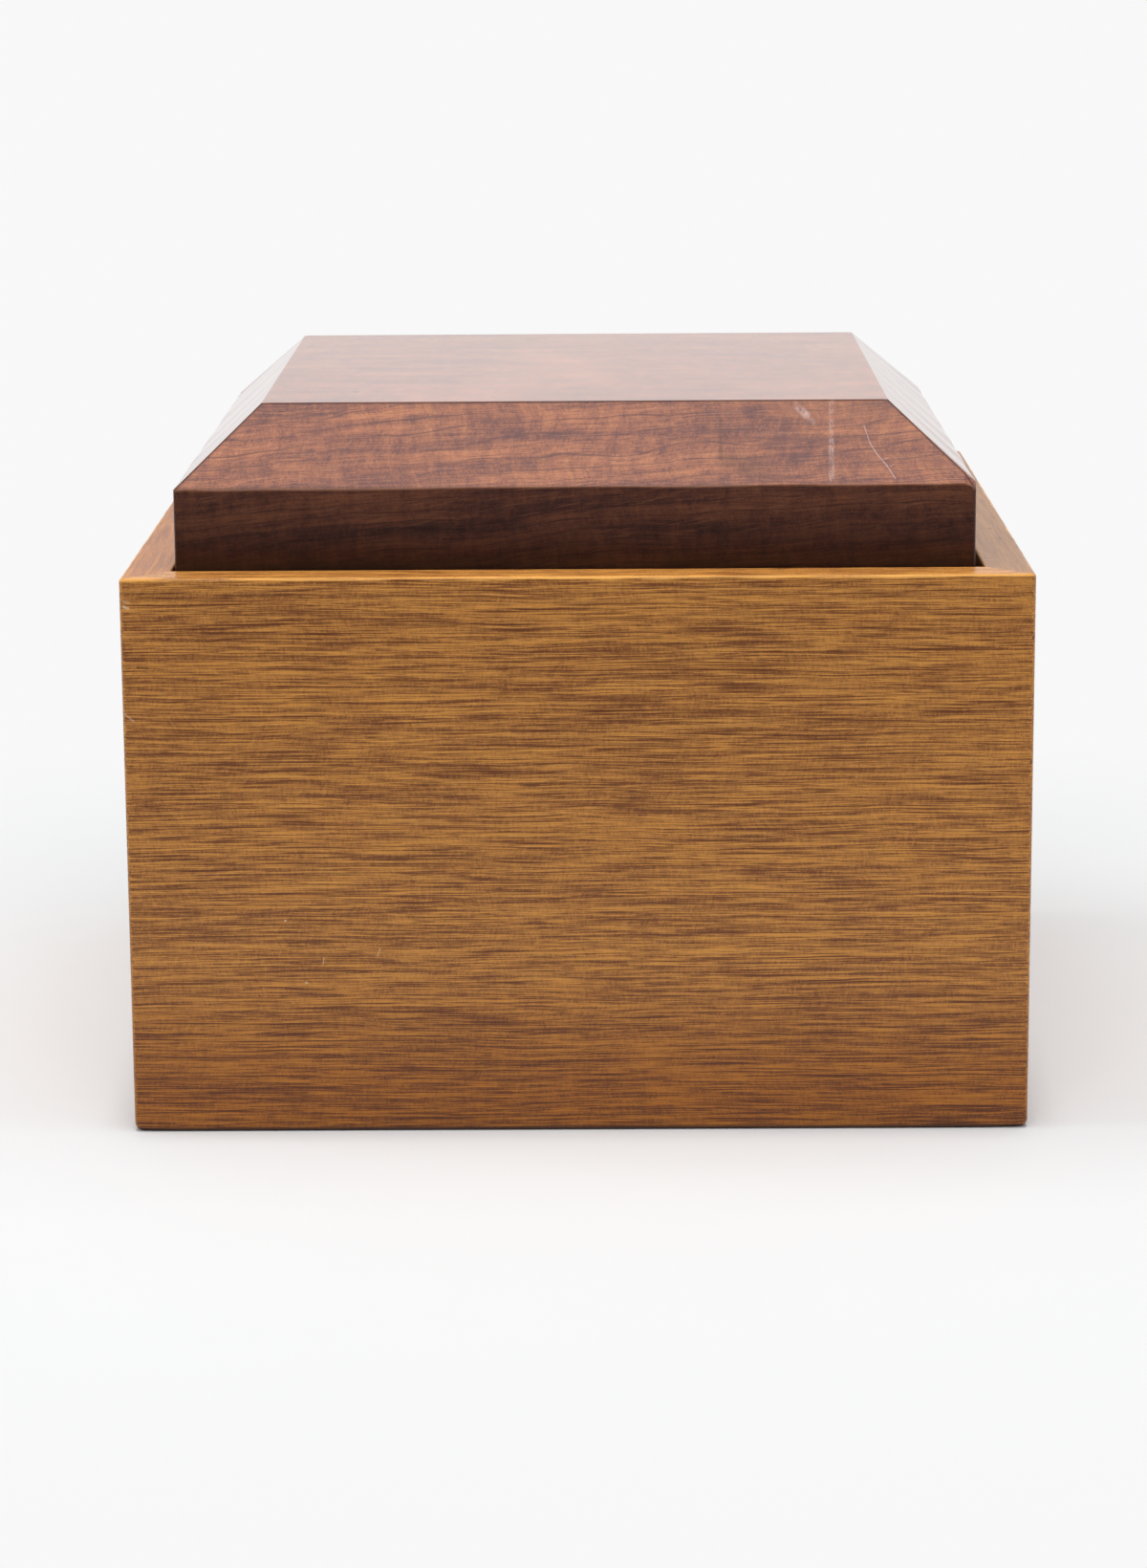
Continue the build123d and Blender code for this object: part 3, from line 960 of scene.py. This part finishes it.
pieces = (
    (front_board, "front_wall", "box", "golden_wood", front_wood),
    (left_board, "left_wall", "box", "golden_wood", left_wood),
    (right_board, "right_wall", "box", "golden_wood", right_wood),
    (back_board, "back_wall", "box", "golden_wood", back_wood),
    (bottom_panel(), "bottom_panel", "box", "panel_wood", panel_wood),
    (rail, "lid_rail", "lid", "golden_wood", back_wood),
    (lid_block(), "lid_block", "lid", "red_brown_wood", lid_wood()),
)
for piece, node, body, slot, material in pieces:
    piece.data.materials.append(material)
    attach(piece, body)
    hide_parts(node)

spline_wood = bare_wood("spline_bare", srgb(140, 96, 60), srgb(176, 132, 88), (10.0, 20.0, 5.0), 2.0)
for node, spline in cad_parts.items():
    if node.startswith("spline"):
        spline.data.materials.clear()
        spline.data.materials.append(spline_wood)


# ---------------------------------------------------------------- floor, light and camera

white = 0.94
floor_radius = 4.0
floor_corners = 96
floor_paper = (0.818, 0.827, 0.836, 1.0)
floor_fleck = (0.806, 0.815, 0.824, 1.0)
paper_mottle = (0.02, 0.02, 0.02)
dim_room = 0.06

# How far from the object the floor still shows its shadow, and from where it is plain white
shadow_reach = 0.04
paper_reach = 0.24

# Places along Y between which the floor dims away in reflections
lit_front = -0.28
dim_front = -0.50


def floor():
    """A pale paper disc with fine mottle. Near the object it takes the light and the shadow, and further out
    it turns to the plain white of the backdrop for the camera. Reflections see it dim away towards the front,
    like the dark room in front of a lit table."""
    angle = np.linspace(0, 2 * np.pi, floor_corners, endpoint=False)
    points = np.column_stack([floor_radius * np.cos(angle), floor_radius * np.sin(angle), 0 * angle])
    mesh = bpy.data.meshes.new("paper_floor")
    mesh.from_pydata(points, [], [list(range(len(points)))])
    sheet = bpy.data.objects.new("paper_floor", mesh)
    bpy.context.scene.collection.objects.link(sheet)
    material, tree = new_material("paper")
    here = add(tree, "TexCoord").outputs["Object"]
    mottle = noise(tree, here, paper_mottle, detail=4.0)
    colour = mix(tree, mottle, floor_fleck, floor_paper)
    paper = add(tree, "BsdfDiffuse", {"Color": colour}).outputs[0]
    glow = add(tree, "Emission", {"Color": (white, white, white, 1.0)}).outputs[0]
    footprint = (half_width, half_depth, 0.0)
    past = vector(tree, "SUBTRACT", vector(tree, "ABSOLUTE", here), footprint)
    past = vector(tree, "MAXIMUM", past, (0.0, 0.0, 0.0))
    distance = add(tree, "VectorMath", {0: past}, operation="LENGTH").outputs["Value"]
    far = between(tree, distance, shadow_reach, paper_reach)
    rays = add(tree, "LightPath").outputs
    seen = calc(tree, "SUBTRACT", 1.0, rays["Is Diffuse Ray"])
    shown = add(tree, "MixShader", {0: calc(tree, "MULTIPLY", far, seen), 1: paper, 2: glow}).outputs[0]
    unlit = add(tree, "Emission", {"Color": (dim_room, dim_room, dim_room, 1.0)}).outputs[0]
    front = between(tree, add(tree, "SeparateXYZ", {0: here}).outputs[1], lit_front, dim_front)
    mirrored = calc(tree, "MULTIPLY", front, rays["Is Glossy Ray"])
    surface = add(tree, "MixShader", {0: mirrored, 1: shown, 2: unlit}).outputs[0]
    add(tree, "OutputMaterial", {"Surface": surface})
    mesh.materials.append(material)


def backdrop(fill, behind_camera):
    """The world: even fill light on the object, and a plain white backdrop for the camera and for
    reflections, where it is dimmer towards the side that the front looks to, as a room behind a camera is."""
    world = bpy.data.worlds.new("studio")
    world.use_nodes = True
    tree = world.node_tree
    tree.nodes.clear()
    towards = add(tree, "SeparateXYZ", {0: add(tree, "TexCoord").outputs["Generated"]}).outputs[1]
    inputs = {"Value": towards, "From Min": -0.6, "From Max": -0.1, "To Min": behind_camera}
    room = add(tree, "MapRange", inputs)
    rays = add(tree, "LightPath").outputs
    mirrored = calc(tree, "MAXIMUM", rays["Is Glossy Ray"], rays["Is Transmission Ray"])
    mirrored = calc(tree, "MULTIPLY", mirrored, room.outputs[0])
    seen = calc(tree, "MULTIPLY", calc(tree, "MAXIMUM", rays["Is Camera Ray"], mirrored), white)
    strength = calc(tree, "MAXIMUM", seen, calc(tree, "MULTIPLY", rays["Is Diffuse Ray"], fill))
    surface = add(tree, "Background", {"Color": (1.0, 1.0, 1.0, 1.0), "Strength": strength}).outputs[0]
    add(tree, "OutputWorld", {"Surface": surface})
    bpy.context.scene.world = world


def soft_lamp(name, place, aim, size, power):
    """A square softbox at a place, turned to look at the aim."""
    lamp = bpy.data.lights.new(name, "AREA")
    lamp.shape = "SQUARE"
    lamp.size = size
    lamp.energy = power
    holder = bpy.data.objects.new(name, lamp)
    place, aim = np.array(place, float), np.array(aim, float)
    back = (place - aim) / np.linalg.norm(place - aim)
    side = np.cross((0, 1, 0), back)
    side /= np.linalg.norm(side)
    direction = Matrix((side, np.cross(back, side), back)).transposed()
    holder.matrix_world = Matrix.Translation(place) @ direction.to_4x4()
    bpy.context.scene.collection.objects.link(holder)


def ceiling_light(strength, spread):
    """Light from a wide white ceiling: it falls straight down, spread over that many degrees, and shows in no
    reflection."""
    lamp = bpy.data.lights.new("ceiling_light", "SUN")
    lamp.energy = strength
    lamp.angle = math.radians(spread)
    holder = bpy.data.objects.new("ceiling_light", lamp)
    holder.visible_glossy = False
    bpy.context.scene.collection.objects.link(holder)


# Softboxes: name, place, aim, width and power
softboxes = (
    ("overhead_softbox", (0, -0.02, 1.25), (0, 0, 0.1), 0.9, 3.4),
    ("front_softbox", (0, -1.0, 1.15), (0, 0, 0.1), 0.9, 5.0),
    ("left_softbox", (-1.3, -0.05, 1.1), (0, 0, 0.08), 0.7, 6.0),
    ("right_fill", (1.2, -0.3, 0.7), (0, 0, 0.08), 0.8, 2.6),
)

# The camera's place, its turns in radians, and its lens and the long side of its frame in millimetres
camera_place = (0.006683, -1.003155, 0.275146)
camera_pitch = 0.213535
camera_yaw = 0.008613
camera_roll = -0.007063
camera_lens = 96.446
camera_sensor = 36.0
nearest_seen = 0.05
furthest_seen = 20.0


def camera():
    """The camera, looking along +Y and down by its pitch."""
    data = bpy.data.cameras.new("camera")
    data.lens = camera_lens
    data.sensor_width = camera_sensor
    data.clip_start = nearest_seen
    data.clip_end = furthest_seen
    eye = bpy.data.objects.new("camera", data)
    turn = Matrix.Rotation(camera_yaw, 4, "Z") @ Matrix.Rotation(math.pi / 2 - camera_pitch, 4, "X")
    eye.matrix_world = Matrix.Translation(camera_place) @ turn @ Matrix.Rotation(camera_roll, 4, "Z")
    bpy.context.scene.collection.objects.link(eye)
    bpy.context.scene.camera = eye


floor()
backdrop(fill=0.28, behind_camera=0.08)
ceiling_light(strength=1.1, spread=10.0)
for softbox in softboxes:
    soft_lamp(*softbox)
camera()
bpy.context.scene.view_settings.view_transform = "Standard"
